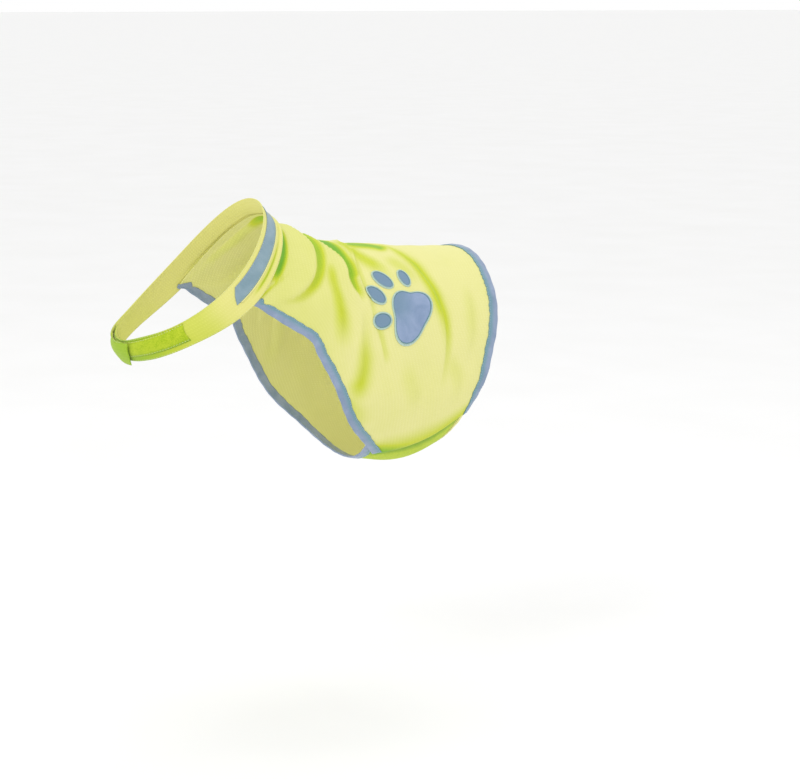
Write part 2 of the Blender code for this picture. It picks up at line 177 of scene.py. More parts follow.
def beadTape(name, shadow, light, patchy, edge):
    # glass-bead reflective tape on woven backing: satin grey-blue, scuffed, with slack creases
    made, tree, shader = startMaterial(name, 0.42, Specular_IOR_Level=0.5, Sheen_Weight=0.1)
    place = addNode(tree, "ShaderNodeTexCoord")
    cloud = addNode(tree, "ShaderNodeTexNoise", {"Vector": place.outputs["Object"], "Scale": 45.0,
                                                 "Detail": 3.0, "Roughness": 0.55, "Distortion": 0.6})
    spread = addNode(tree, "ShaderNodeMapRange", {"Value": cloud.outputs["Fac"],
                                                  "From Min": 0.5 - patchy * 0.4,
                                                  "From Max": 0.5 + patchy * 0.4})
    # beads are 0.06 mm; their sparkle is drawn at 0.8 mm
    beads = addNode(tree, "ShaderNodeTexNoise", {"Vector": place.outputs["Object"], "Scale": 1250.0,
                                                 "Detail": 1.0})
    tint = addNode(tree, "ShaderNodeMixRGB", {"Fac": spread.outputs["Result"], "Color1": linearColour(shadow),
                                              "Color2": linearColour(light)})
    # painted shade: the hollow attribute mixes in a green-teal shade, as of light bounced off the cloth
    tapeShadeAmount = addNode(tree, "ShaderNodeAttribute", attribute_name="hollow")
    cast = addNode(tree, "ShaderNodeMixRGB", {"Fac": tapeShadeAmount.outputs["Fac"], "Color1": tint.outputs["Color"],
                                              "Color2": linearColour(edge)})
    speckle = addNode(tree, "ShaderNodeMixRGB", {"Fac": 0.14, "Color1": cast.outputs["Color"],
                                                 "Color2": beads.outputs["Fac"]}, blend_type="OVERLAY")
    tree.links.new(speckle.outputs["Color"], shader.inputs["Base Color"])
    wear = addNode(tree, "ShaderNodeMapRange", {"Value": cloud.outputs["Fac"], "To Min": 0.34,
                                                "To Max": 0.56})
    tree.links.new(wear.outputs["Result"], shader.inputs["Roughness"])
    creases = addNode(tree, "ShaderNodeTexNoise", {"Vector": place.outputs["Object"], "Scale": 150.0,
                                                   "Detail": 2.0, "Distortion": 1.4})
    bump = addNode(tree, "ShaderNodeBump", {"Height": creases.outputs["Fac"], "Strength": 0.30,
                                            "Distance": 0.0008})
    tree.links.new(bump.outputs["Normal"], shader.inputs["Normal"])
    return made


def pileTape(name, low, high, spacing, strength):
    # nylon touch fastener: loops or hooks on a woven strip, matt and rough to the eye
    made, tree, shader = startMaterial(name, 0.9, Sheen_Weight=0.45, Sheen_Roughness=0.6,
                                       Specular_IOR_Level=0.2)
    shader.inputs["Sheen Tint"].default_value = linearColour("#e8f59a")
    threads = addNode(tree, "ShaderNodeUVMap", uv_map="Cloth")
    nap = addNode(tree, "ShaderNodeTexVoronoi", {"Vector": threads.outputs["UV"], "Scale": 100.0 / spacing,
                                                 "Randomness": 0.8}, feature="F1")
    cloud = addNode(tree, "ShaderNodeTexNoise", {"Vector": threads.outputs["UV"], "Scale": 9.0,
                                                 "Detail": 3.0})
    mixed = addNode(tree, "ShaderNodeMath", {0: cloud.outputs["Fac"], 1: nap.outputs["Distance"]},
                    operation="MULTIPLY")
    spread = addNode(tree, "ShaderNodeMapRange", {"Value": mixed.outputs[0], "From Min": 0.08,
                                                  "From Max": 0.40})
    tint = addNode(tree, "ShaderNodeMixRGB", {"Fac": spread.outputs["Result"], "Color1": linearColour(high),
                                              "Color2": linearColour(low)})
    # painted shade: the hollow attribute darkens the tape towards a deep green where it lies in shade
    hollow = addNode(tree, "ShaderNodeAttribute", attribute_name="hollow")
    shaded = addNode(tree, "ShaderNodeMixRGB", {"Fac": hollow.outputs["Fac"], "Color1": tint.outputs["Color"],
                                                "Color2": linearColour("#6d9c1e")})
    tree.links.new(shaded.outputs["Color"], shader.inputs["Base Color"])
    bump = addNode(tree, "ShaderNodeBump", {"Height": nap.outputs["Distance"], "Strength": strength,
                                            "Distance": 0.0010})
    tree.links.new(bump.outputs["Normal"], shader.inputs["Normal"])
    return made


def sewingThread(name, colour, dark):
    # spun polyester sewing thread: soft lustre, twisted
    made, tree, shader = startMaterial(name, 0.55, Sheen_Weight=0.2)
    place = addNode(tree, "ShaderNodeTexCoord")
    twist = addNode(tree, "ShaderNodeTexNoise", {"Vector": place.outputs["Object"], "Scale": 700.0,
                                                 "Detail": 1.0})
    tint = addNode(tree, "ShaderNodeMixRGB", {"Fac": twist.outputs["Fac"], "Color1": linearColour(dark),
                                              "Color2": linearColour(colour)})
    tree.links.new(tint.outputs["Color"], shader.inputs["Base Color"])
    return made


# knits: lit colour, then three painted shade tones; bead tapes: two tones, patchiness, painted shade colour
finishes = {
    "panel": warpKnit("day_glow_warp_knit", "#e3e098", "#c6d036", "#86b71c", "#58a62c"),
    "band": warpKnit("day_glow_warp_knit_band", "#e2de88", "#c5d040", "#98bd2c", "#7cb02a"),
    "tape": beadTape("glass_bead_reflective_tape", "#6f8d9b", "#8ea7b3", 0.6, "#7f9d9a"),
    "binding": beadTape("glass_bead_binding_tape", "#6c829e", "#9eabc6", 0.9, "#64929b"),
    "paw": beadTape("glass_bead_reflective_applique", "#7089ab", "#9aabca", 0.8, "#68889f"),
    "loop": pileTape("nylon_loop_tape", "#9cb814", "#bfd030", 1.1, 0.35),
    "hook": pileTape("nylon_hook_tape", "#a9bd34", "#c6d254", 1.3, 0.6),
    "pale thread": sewingThread("pale_polyester_thread", "#e6ecb4", "#cdd68a"),
    "grey thread": sewingThread("grey_polyester_thread", "#b4c2d6", "#8fa3bf"),
    "satin thread": sewingThread("pale_grey_satin_thread", "#c3d8c8", "#a5c3bb"),
    # dark teal of the prints' satin edges: darker thread and painted shadow
    "teal thread and shadow": sewingThread("teal_thread_and_edge_shadow", "#56828f", "#42707f"),
}


def layFloor(height=-0.572, size=150.0):
    work = bmesh.new()
    bmesh.ops.create_grid(work, x_segments=1, y_segments=1, size=size)
    bmesh.ops.translate(work, verts=work.verts, vec=(0, 0, height))
    mesh = bpy.data.meshes.new("floor")
    work.to_mesh(mesh)
    work.free()
    made = bpy.data.objects.new("floor", mesh)
    bpy.context.scene.collection.objects.link(made)
    made.data.materials.append(studioPaint())


placeCamera()
lightStudio()
layFloor()
print("studio ready")


# the worn form, as in the frame: spine point, lowest point, half width, and how far the sides sit behind
# the line joining the two points
stations = [
    ("neck", -70, 54, -231, -105, 80, 15),
    ("neck seam", -48, 27, -221, -128, 88, 17),
    ("shoulder", 10, 3, -125, -215, 98, 12),
    ("foreleg", 55, -10, -40, -262, 106, 6),
    ("chest", 110, -16, 45, -268, 110, 2),
    ("ribs", 170, -22, 122, -277, 111, 0),
    ("hem", 227, -24, 190, -250, 108, 0),
]

# cut of the panel: where each cross line starts (neckline or front edge) and ends (hem), its bend, its share
# of columns; some of the ends stand as the scratch fit named at the creases gave them
cut = [
    ("left end", 4.24, 152, 5.57, 124, 1.5, 3),
    ("left flap", 3.72, 134.6, 5.74, 109, 1.3, 3),
    ("left flap root", 3.37, 123.4, 5.82, 96, 1.4, 2),
    ("left flank", 2.79, 104, 5.90, 82, 1.6, 3),
    ("left chest", 2.28, 92.5, 5.94, 69, 2.0, 3),
    ("left foreleg", 2.02, 86.8, 5.95, 58, 2.6, 2),
    ("left front", 1.60, 86, 5.94, 49, 3.0, 1),
    ("left seam end", 1.19, 85.5, 5.93, 44, 3.0, 1),
    ("left corner", 1.04, 85.5, 5.93, 40, 3.0, 2),
    ("left shoulder", 0.98, 56, 5.93, 27, 2.0, 2),
    ("left nape", 0.97, 27, 5.93, 13, 1.2, 2),
    ("spine", 0.96, 0, 5.93, 0, 1.0, 2),
    ("right nape", 0.97, -27, 5.93, -13, 1.2, 2),
    ("right shoulder", 0.98, -56, 5.93, -27, 2.0, 2),
    ("right corner", 1.04, -85.5, 5.93, -40, 3.0, 1),
    ("right seam end", 1.19, -85.5, 5.93, -44, 3.0, 1),
    ("right front", 1.60, -86, 5.94, -49, 3.0, 2),
    ("right foreleg", 2.02, -86.8, 5.95, -58, 2.6, 2),
    ("right chest", 2.28, -92.5, 5.94, -69, 2.0, 2),
    ("right flank", 2.79, -104, 5.90, -82, 1.6, 2),
    ("right flap root", 3.37, -123, 5.84, -98, 1.4, 2),
    ("right flap", 3.80, -140, 5.75, -118, 1.2, 2),
    ("right flap low", 4.08, -160, 5.63, -140, 1.0, 2),
    ("belly", 4.18, -180, 5.55, -166, 1.0, 3),
    ("belly lap", 4.12, -198, 5.55, -196, 1.0, 3),
    ("under the lap", 4.02, -212, 5.62, -224, 1.0, 3),
    ("right end", 3.95, -221, 5.68, -248, 1.0, 0),
]

# neck band, inner end to tab: its head edge and body edge stations, lift over what it laps, its share
# of columns
band = [
    ("inner end", 214, 0.00, 0.98, 0.0, 4),
    ("throat", 180, -0.05, 0.98, 0.0, 4),
    ("left throat", 155, -0.10, 0.98, 0.0, 5),
    ("left strap", 125, 0.05, 1.00, 0.0, 5),
    ("left junction", 88, 0.22, 1.13, 0.0, 4),
    ("left shoulder", 58, 0.26, 1.14, 0.0, 4),
    ("left nape", 28, 0.28, 1.12, 0.0, 4),
    ("nape", 0, 0.28, 1.10, 0.0, 4),
    ("right nape", -28, 0.28, 1.12, 0.0, 4),
    ("right shoulder", -58, 0.26, 1.14, 0.0, 4),
    ("right junction", -88, 0.22, 1.13, 0.0, 5),
    ("right strap", -125, 0.05, 1.00, 0.0, 4),
    ("tab root", -150, -0.08, 0.97, 3.6, 4),
    ("tab", -172, -0.10, 1.00, 4.6, 4),
    ("tab end", -192, -0.08, 1.02, 4.4, 0),
]

# creases of the left side: lip points (s, phi), lip height, depth of the hollow behind and its width at both
# ends, reach of the painted shade behind the lip at both ends, how deep that shade is at both ends, share
# of the length to fade; nearly half of the points stand as a least-squares fit turned them out from places
# read off the photo, the others were moved or added
leftCreases = [
    ("collar hollow", ((0.90, -4), (0.96, 6), (1.02, 18), (1.06, 24), (1.09, 33), (1.13, 44), (1.14, 55),
     (1.13, 64), (1.10, 74)), 0.0, 4.2, (10, 5), (9, 5.5), (1.1, 0.85), (0.05, 0.2)),
    ("crescent", ((1.42, 0), (1.51, 10), (1.60, 16), (1.68, 21), (1.75, 28), (1.77, 40), (1.77, 49),
     (1.72, 58), (1.58, 69), (1.39, 77), (1.27, 82)), 1.6, 4.2, (12, 5), (18, 3), (0.85, 0.35),
     (0.03, 0.35)),
    ("collar crease", ((1.10, 82), (1.20, 70), (1.35, 59), (1.46, 50)), 0.5, 1.0, (3, 3), (2.4, 2),
     (0.5, 0.15), (0.05, 0.6)),
    ("shoulder fold", ((1.80, 2), (1.93, 13), (2.01, 17), (2.16, 23), (2.41, 30), (2.52, 38), (2.54, 45),
     (2.66, 51), (2.81, 55), (2.92, 60)), 1.5, 4.4, (16, 9), (24, 7), (1.1, 0.5), (0.02, 0.2)),
    ("back fold", ((2.80, -8), (2.93, 2), (2.95, 14), (2.88, 28), (2.88, 38), (2.93, 46), (3.03, 54),
     (3.15, 65), (3.23, 73), (3.30, 82)), 1.4, 1.2, (5, 4), (6, 4), (0.3, 0.15), (0.1, 0.4)),
    ("diagonal fold", ((2.86, 8), (2.90, 18), (3.03, 25), (3.21, 31), (3.42, 38), (3.56, 44)), 0.6, 1.8,
     (10, 8), (13, 9), (0.5, 0.3), (0.1, 0.4)),
    ("rib crease", ((3.84, 0), (4.01, 12), (4.10, 22), (4.22, 30), (4.34, 39), (4.47, 48), (4.57, 57),
     (4.66, 66), (4.71, 75), (4.74, 86), (4.74, 97), (4.70, 104)), 0.8, 3.0, (9, 7), (8, 7), (0.45, 0.35),
     (0.1, 0.35)),
    ("foreleg trough", ((1.98, 34), (2.06, 44), (2.12, 51), (2.27, 60), (2.41, 67), (2.50, 76),
     (2.59, 83), (2.70, 88)), 0.5, 3.2, (10, 9), (8, 8), (0, 0), (0.5, 0.35)),
    ("flank trough", ((2.84, 56), (2.91, 65), (2.97, 76), (3.06, 85), (3.13, 93), (3.14, 102),
     (3.08, 108)), 0.5, 3.2, (9, 10), (8, 9), (0.05, 0.15), (0.35, 0.3)),
    ("thin streak", ((3.18, 64), (3.24, 70), (3.36, 77), (3.52, 87), (3.60, 92)), 0.4, 1.0, (5, 5),
     (5, 5), (0.2, 0.2), (0.4, 0.4)),
    ("hem trough", ((5.24, 40), (5.28, 50), (5.30, 62), (5.31, 76), (5.24, 89), (5.20, 98)), 0.2, 1.6,
     (9, 9), (9, 9), (0, 0), (0.5, 0.5)),
    ("low trough", ((3.92, 88), (4.10, 98), (4.28, 107), (4.40, 118), (4.46, 124)), 0.2, 1.2, (8, 8),
     (8, 8), (0, 0), (0.5, 0.5)),
    ("rear trough", ((4.84, 80), (4.92, 88), (5.11, 100), (5.11, 112), (5.10, 118)), 0.2, 1.2, (8, 8),
     (8, 8), (0, 0), (0.5, 0.5)),
]

# soft painted shade along the middle of a hollow: points (s, phi), half width and depth at both ends, fades;
# over a third of the points stand as the same fit turned them out
leftHollows = [
    ("top", ((3.02, -2), (3.25, 4), (3.55, 8), (3.77, 12), (3.92, 17)), (13, 10), (0.8, 0.85),
     (0.2, 0.3)),
    ("shoulder top", ((1.92, -2), (2.20, 6), (2.42, 16), (2.56, 26), (2.62, 33)), (17, 9), (1.0, 0.85),
     (0.1, 0.2)),
    ("behind the shoulder", ((2.62, 2), (2.86, 10), (2.98, 19), (3.13, 26), (3.31, 32), (3.50, 39),
     (3.72, 48)), (10, 9), (0.5, 0.36), (0.15, 0.4)),
    ("soft back", ((3.64, 22), (3.80, 29), (4.00, 36), (4.16, 43), (4.24, 51)), (9, 6), (0.25, 0.12),
     (0.3, 0.5)),
    ("rib", ((3.90, 0), (4.07, 11), (4.17, 21), (4.30, 30), (4.41, 40), (4.53, 49), (4.62, 58),
     (4.71, 66), (4.76, 74), (4.79, 85), (4.82, 97)), (9, 6), (0.5, 0.5), (0.12, 0.5)),
    ("foreleg", ((2.05, 34), (2.11, 40), (2.17, 50), (2.32, 60), (2.45, 68), (2.54, 75), (2.62, 82),
     (2.70, 90)), (6, 13), (0.34, 0.46), (0.25, 0.45)),
    ("flank", ((3.00, 64), (3.04, 73), (3.10, 82), (3.18, 90), (3.21, 98), (3.17, 105), (3.04, 110)),
     (6, 11), (0.2, 0.48), (0.4, 0.3)),
    ("flap", ((3.02, 104), (3.10, 109), (3.23, 114), (3.49, 122), (3.66, 127)), (7, 10), (0.22, 0.25),
     (0.3, 0.5)),
    ("low", ((3.92, 88), (4.10, 98), (4.28, 107), (4.40, 118)), (8, 8), (0.08, 0.12), (0.4, 0.5)),
    ("rear", ((4.84, 80), (4.92, 88), (5.11, 100), (5.11, 114)), (8, 8), (0.08, 0.14), (0.4, 0.5)),
    ("hem", ((5.24, 40), (5.30, 56), (5.33, 76), (5.26, 92)), (8, 8), (0.10, 0.12), (0.4, 0.5)),
]


# the far side creases alike, not the same, and less deeply: stations to wander, degrees of one wander, share
# of phi, degrees to shift, share of the painted shade
farSide = {"wander": 0.05, "period": 17, "share": 0.97, "shift": 1.5, "shadeShare": 0.7}


def mirrored(name, points):
    return [(s + farSide["wander"] * math.sin(phi / farSide["period"] + len(name)),
             -farSide["share"] * phi - farSide["shift"]) for s, phi in points]


def otherSide(rows):
    return [(name, mirrored(name, points), *rest, tuple(farSide["shadeShare"] * tint for tint in shadeDepths), fades)
            for name, points, *rest, shadeDepths, fades in rows]


creases = leftCreases + otherSide(leftCreases)
hollows = leftHollows + otherSide(leftHollows)

# rough millimetres of cloth to a station and to a degree
clothScale = (62, 2.0)
# rolls of gathered cloth between the reflector and the seam: height, then place and half width as shares of
# the band
bandRolls = [(1.2, 0.81, 0.045), (-1.2, 0.885, 0.03), (0.9, 0.95, 0.035)]


def spline(rows, at):
    # smooth curve through the rows of a table, read at fractional row numbers
    rows, at = np.asarray(rows, float), np.asarray(at, float)
    low = np.clip(np.floor(at).astype(int), 0, len(rows) - 2)
    u = (at - low)[..., None]
    here, there, last = rows[low], rows[low + 1], len(rows) - 1
    before = np.where((low > 0)[..., None], rows[np.maximum(low - 1, 0)], 2 * here - there)
    after = np.where((low + 2 <= last)[..., None], rows[np.minimum(low + 2, last)], 2 * there - here)
    return 0.5 * (2 * here + (there - before) * u + (2 * before - 5 * here + 4 * there - after) * u ** 2
                  + (3 * here - before - 3 * there + after) * u ** 3)


def ease(low, high, value):
    t = np.clip((value - low) / (high - low), 0, 1)
    return t * t * (3 - 2 * t)


def direction(vectors):
    return vectors / np.linalg.norm(vectors, axis=-1)[..., None]


def bodyForm(s, phi):
    topY, topZ, lowY, lowZ, half, setBack = np.moveaxis(spline([row[1:] for row in stations], s), -1, 0)
    turn = np.radians(phi)
    reachY, reachZ = (topY - lowY) / 2, (topZ - lowZ) / 2
    reach, side = np.hypot(reachY, reachZ), np.sin(turn)
    back = setBack * side ** 2
    x = half * np.sign(side) * np.abs(side) ** 0.95
    y = (topY + lowY) / 2 + reachY * np.cos(turn) + back * reachZ / reach
    z = (topZ + lowZ) / 2 + reachZ * np.cos(turn) - back * reachY / reach
    return np.stack([x, y, z], -1) * mm


def outward(s, phi):
    along = bodyForm(s + 0.02, phi) - bodyForm(s - 0.02, phi)
    around = bodyForm(s, phi + 0.5) - bodyForm(s, phi - 0.5)
    face = direction(np.cross(along, around))
    inward = bodyForm(s, phi + 180) - bodyForm(s, phi)
    return -face if face.reshape(-1, 3)[0] @ inward.reshape(-1, 3)[0] > 0 else face


def nearLine(points, s, phi, reach):
    # for the points of cloth near a line: which they are, share of its length, distance, whether behind it
    steps = 6 * (len(points) - 1)
    path = spline(np.array(points) * clothScale, np.linspace(0, len(points) - 1, steps + 1))
    run, girth = s * clothScale[0], phi * clothScale[1]
    near = np.nonzero((run > path[:, 0].min() - reach) & (run < path[:, 0].max() + reach)
                      & (girth > path[:, 1].min() - reach) & (girth < path[:, 1].max() + reach))
    if not len(near[0]):
        return None
    here = np.stack([run[near], girth[near]], -1)[:, None, :]
    start, step = path[:-1], np.diff(path, axis=0)
    along = np.clip(((here - start) * step).sum(-1) / (step ** 2).sum(-1), 0, 1)
    gap = here - start - along[..., None] * step
    away = np.hypot(gap[..., 0], gap[..., 1])
    best = away.argmin(-1)[:, None]
    share = (np.take_along_axis(along, best, -1)[:, 0] + best[:, 0]) / steps
    behind = np.take_along_axis(gap[..., 0], best, -1)[:, 0] > 0
    return near, share, np.take_along_axis(away, best, -1)[:, 0], behind


def creaseField(s, phi):
    # height of the creases, and the painted shade each point gets from lying in a hollow
    height, hollow = np.zeros(np.shape(s)), np.zeros(np.shape(s))
    for name, points, lip, dip, widths, reaches, shadeDepths, fades in creases:
        found = nearLine(points, s, phi, 4.0 * max(widths + reaches))
        if not found:
            continue
        near, run, away, behind = found
        fade = ease(0, fades[0], run) * ease(1, 1 - fades[1], run)
        side = np.where(behind, 1, -1)
        x = away / (widths[0] + (widths[1] - widths[0]) * run) * side
        pit = np.where(x > 0, np.abs(x) ** 1.3 * np.exp(1.3 * (1 - np.abs(x))), 0)
        ridge = np.where(x > 0, np.exp(-(x / 0.30) ** 2), np.exp(-(x / 0.9) ** 2))
        height[near] += fade * (lip * ridge - dip * pit)
        x = away / (reaches[0] + (reaches[1] - reaches[0]) * run) * side
        paintedShade = fade * (shadeDepths[0] + (shadeDepths[1] - shadeDepths[0]) * run) * ease(-0.08, 0.25, x) * ease(2.1, 0.7, x)
        hollow[near] = np.maximum(hollow[near], paintedShade)
    return height, hollow


def hollowField(s, phi):
    # painted shade along the middle of each hollow
    hollow = np.zeros(np.shape(s))
    for name, points, widths, shadeDepths, fades in hollows:
        found = nearLine(points, s, phi, 3.0 * max(widths))
        if not found:
            continue
        near, run, away = found[:3]
        fade = ease(0, fades[0], run) * ease(1, 1 - fades[1], run)
        x = away / (widths[0] + (widths[1] - widths[0]) * run)
        paintedShade = fade * (shadeDepths[0] + (shadeDepths[1] - shadeDepths[0]) * run) * np.exp(-(x ** 2.4) * 0.7)
        hollow[near] = np.maximum(hollow[near], paintedShade)
    return hollow


def slackField(s, phi):
    # long low waves of slack cloth that run round the girth, never the same twice
    wave = 0.34 * np.sin(s * 5.1 + 1.7 * np.sin(phi / 23.0) + 0.9)
    wave = wave + 0.26 * np.sin(s * 9.3 - 1.3 * np.sin(phi / 17.0 + 1.0) + 2.1)
    wave = wave + 0.16 * np.sin(s * 15.7 + 2.2 * np.sin(phi / 31.0 + 2.0)) * np.sin(phi / 13.0 + 0.4)
    return wave


def cutRow(name):
    return [row[0] for row in cut].index(name)


def panelSheet(across, down, lift=0.0):
    # across: fractional row of the cut table; down: 0 at the front edge, 1 at the hem
    rows = spline([row[1:6] for row in cut], across)
    s = rows[..., 0] + (rows[..., 2] - rows[..., 0]) * down
    phi = rows[..., 3] + (rows[..., 1] - rows[..., 3]) * (1 - down) ** rows[..., 4]
    calm = ease(1.0, 1.14, s) * ease(133, 112, np.abs(phi)) * ease(0, 0.06, down) * ease(1, 0.95, down)
    height, hollow = creaseField(s, phi)
    hollow = np.maximum(hollow, hollowField(s, phi))
    height = (height + slackField(s, phi)) * calm
    lapped = ease(94, 112, phi + 8 * down) * (across < cutRow("left corner"))
    height = height + walls["lapLift"] * lapped + lift
    return bodyForm(s, phi) + outward(s, phi) * (height * mm)[..., None], hollow * ease(0.98, 1.06, s), s, phi


def panelAt(across, down, lift=0.0):
    return panelSheet(across, down, lift)[0]


def bandAt(across, over, lift=0.0):
    rows = spline([row[1:5] for row in band], across)
    last = len(band) - 1
    rounding = ease(last - 0.9, last, across) * 8.0 * np.abs(2 * over - 1) ** 3
    phi = rows[..., 0] + rounding
    s = rows[..., 1] + (rows[..., 2] - rows[..., 1]) * over
    roll = sum(high * np.exp(-((over - place) / wide) ** 2) for high, place, wide in bandRolls)
    gather = ease(8, 26, np.abs(phi)) * ease(86, 66, np.abs(phi))
    ripple = (0.3 * np.sin(phi / 5.3 + 2 * np.sin(phi / 19.0)) * ease(0.5, 0.9, over)
              * ease(95, 60, np.abs(phi)))
    height = walls["bandLift"] + rows[..., 3] + roll * gather + ripple + lift
    return bodyForm(s, phi) + outward(s, phi) * (height * mm)[..., None], phi


def layCloth(name, points, wall, finish, hollow=None):
    # a regular grid carried onto its points; the UV map counts threads in hundreds of millimetres
    rows, columns = points.shape[:2]
    work = bmesh.new()
    bmesh.ops.create_grid(work, x_segments=columns - 1, y_segments=rows - 1, size=0.5)
    place = np.array([vert.co for vert in work.verts])
    column = np.rint((place[:, 0] + 0.5) * (columns - 1)).astype(int)
    row = np.rint((place[:, 1] + 0.5) * (rows - 1)).astype(int)
    for vert, co in zip(work.verts, points[row, column]):
        vert.co = co
    threads = work.loops.layers.uv.new("Cloth")
    runs = [np.insert(np.cumsum(np.linalg.norm(np.diff(points, axis=a), axis=-1), axis=a), 0, 0, axis=a)
            for a in (0, 1)]
    runs = [runs[0] - runs[0][rows // 2][None], runs[1] - runs[1][:, columns // 2][:, None]]
    counts = np.stack([runs[1][row, column], runs[0][row, column]], -1) * 10
    for face in work.faces:
        for loop in face.loops:
            loop[threads].uv = counts[loop.vert.index]
    work.verts.index_update()
    bmesh.ops.recalc_face_normals(work, faces=work.faces)
    mesh = bpy.data.meshes.new(name)
    work.to_mesh(mesh)
    work.free()
    depth = mesh.attributes.new("hollow", "FLOAT", "POINT")
    depth.data.foreach_set("value", np.zeros(len(place)) if hollow is None else hollow[row, column])
    return finishPiece(name, mesh, finish, wall)


def finishPiece(name, mesh, finish, wall=0.0):
    mesh.name = name
    mesh.polygons.foreach_set("use_smooth", [True] * len(mesh.polygons))
    made = bpy.data.objects.new(name, mesh)
    bpy.context.scene.collection.objects.link(made)
    made.data.materials.append(finishes[finish])
    if wall:
        shell = made.modifiers.new("Wall", "SOLIDIFY")
        shell.thickness, shell.offset, shell.use_even_offset = wall * mm, 0, False
    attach(made, "root")
    return made


def gridNormals(points):
    face = direction(np.cross(np.gradient(points, axis=1), np.gradient(points, axis=0)))
    middle = points.mean(axis=(0, 1))
    return face if ((points - middle) * face).sum() > 0 else -face


def sewThreads(name, places, thick, finish):
    # each stitch is a short rounded thread: its two ends and the way it faces
    whole = bmesh.new()
    for first in range(0, len(places), 40):
        some = bmesh.new()
        for start, end, up in places[first:first + 40]:
            along = Vector(end - start)
            reach = along.length / 2
            along.normalize()
            side = Vector(up).cross(along).normalized()
            turn = Matrix((along, side, along.cross(side))).transposed().to_4x4()
            size = Matrix.Diagonal((reach, thick * mm, thick * 0.75 * mm, 1))
            bmesh.ops.create_uvsphere(some, u_segments=6, v_segments=4, radius=1.0,
                                      matrix=Matrix.Translation((start + end) / 2) @ turn @ size)
        part = bpy.data.meshes.new(name)
        some.to_mesh(part)
        some.free()
        whole.from_mesh(part)
        bpy.data.meshes.remove(part)
    mesh = bpy.data.meshes.new(name)
    whole.to_mesh(mesh)
    whole.free()
    return finishPiece(name, mesh, finish)


def alongLine(line, at):
    run = np.insert(np.cumsum(np.linalg.norm(np.diff(line, axis=0), axis=-1)), 0, 0)
    return np.stack([np.interp(at * run[-1], run, line[:, axis]) for axis in range(3)], -1), run[-1] / mm


def stitchRow(name, line, normals, finish, length, gap, thick):
    # one lockstitch row that follows a line of points
    count = int(alongLine(line, np.zeros(1))[1] / (length + gap))
    share = length / (length + gap)
    starts, ends = (alongLine(line, (np.arange(count) + shift) / count)[0] for shift in (0, share))
    run = np.insert(np.cumsum(np.linalg.norm(np.diff(line, axis=0), axis=-1)), 0, 0)
    middles = (np.arange(count) + share / 2) / count * run[-1]
    ups = np.stack([np.interp(middles, run, normals[:, axis]) for axis in range(3)], -1)
    return sewThreads(name, list(zip(starts, ends, ups)), thick, finish)


panelDesign = {"columns": 230, "rows": 196, "flat": (0.78, 0.40), "area": 0.18}


def buildPanel():
    shares = np.insert(np.cumsum([row[-1] for row in cut[:-1]]), 0, 0)
    across = np.interp(np.linspace(0, shares[-1], panelDesign["columns"]), shares, np.arange(len(cut)))
    down = np.linspace(0, 1, panelDesign["rows"])
    points, hollow, s, phi = panelSheet(across[:, None] + 0 * down, down + 0 * across[:, None])
    # painted shade deepens the colour towards the belly lap, where the near flap turns under
    lapped = (across < cutRow("left corner"))[:, None]
    hollow = np.maximum(hollow, (0.55 * ease(136, 152, phi) + 0.4 * ease(0.9, 0, across)[:, None]) * lapped)
    # the colour is also made a little deeper towards the collar
    hollow = np.maximum(hollow, 0.12 * ease(3.4, 1.6, s))
    # the far flap lies in the shadow of the near flap's end edge
    frontS, frontPhi, hemS, hemPhi = cut[cutRow("left end")][1:5]
    endEdge = np.interp(s, (frontS, hemS), (frontPhi - 360, hemPhi - 360))
    lapShade = 0.9 * ease(9, 1, phi - endEdge) * (across > cutRow("belly"))[:, None]
    hollow = np.maximum(hollow, lapShade)
    made = layCloth("body_panel_cloth", points, walls["knit"], "panel", hollow)
    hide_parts("body_panel")
    return across, points, lapShade


across, panelPoints, lapShade = buildPanel()
print("body panel laid")


bindingDesign = {
    "leg": 10.0, "left flat": (0.023, 0.30), "right flat": (0.023, 0.45), "hem flat": (0.023, 0.61),
    "flap leg": 5.0, "flap flat": (0.0125, 0.15),
    # from the edge along a leg: its points, how slack it lies there; from its stitches back: its painted
    # shade
    "points": (0, 0.18, 0.4, 0.62, 0.84, 1.0), "slack": (0.3, 0.7, 0.8, 0.6, 0.2, 0),
    "cast": (1.0, 0.9, 0.55, 0.15, 0.05), "fold": (30, 60, 90, 120, 150),
    # how deep into the cloth a leg is looked for, in how many steps, and along how much of the edge
    "search": 0.3, "steps": 61, "edge steps": 500, "edge rows": 3,
    # share of the leg at the top ends, what is added further down, and how far their strip leans
    "top share": 0.72, "more": 0.28, "lean": 0.10,
}
# stitch length, gap and half thickness
sewing = {"binding": (2.2, 1.0, 0.34), "band": (2.4, 1.0, 0.3)}


